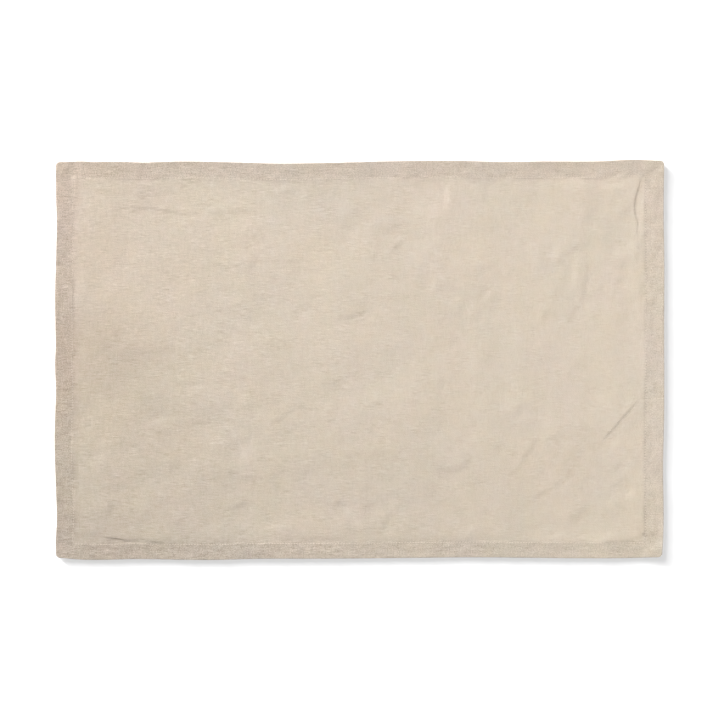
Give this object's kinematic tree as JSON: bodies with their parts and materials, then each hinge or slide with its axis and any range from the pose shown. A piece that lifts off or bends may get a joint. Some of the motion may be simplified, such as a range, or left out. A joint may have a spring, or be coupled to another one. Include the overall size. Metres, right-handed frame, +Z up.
{
  "type": "fabric placemat",
  "caption": "Rectangular linen placemat with a turned and stitched hem on all sides, lying flat and slightly creased.",
  "frame": {"origin": "under the middle of the outline, on the surface the mat lies on", "axes": "+X along the long side, +Y along the short side, +Z up, out of the face that shows when the table is laid"},
  "size_m": [0.501, 0.329, 0.0028],
  "materials": {
    "linen": "plain-woven washed linen, matt, natural beige, slubby yarns"
  },
  "bodies": {
    "root": {"placemat": "linen"}
  },
  "joints": []
}
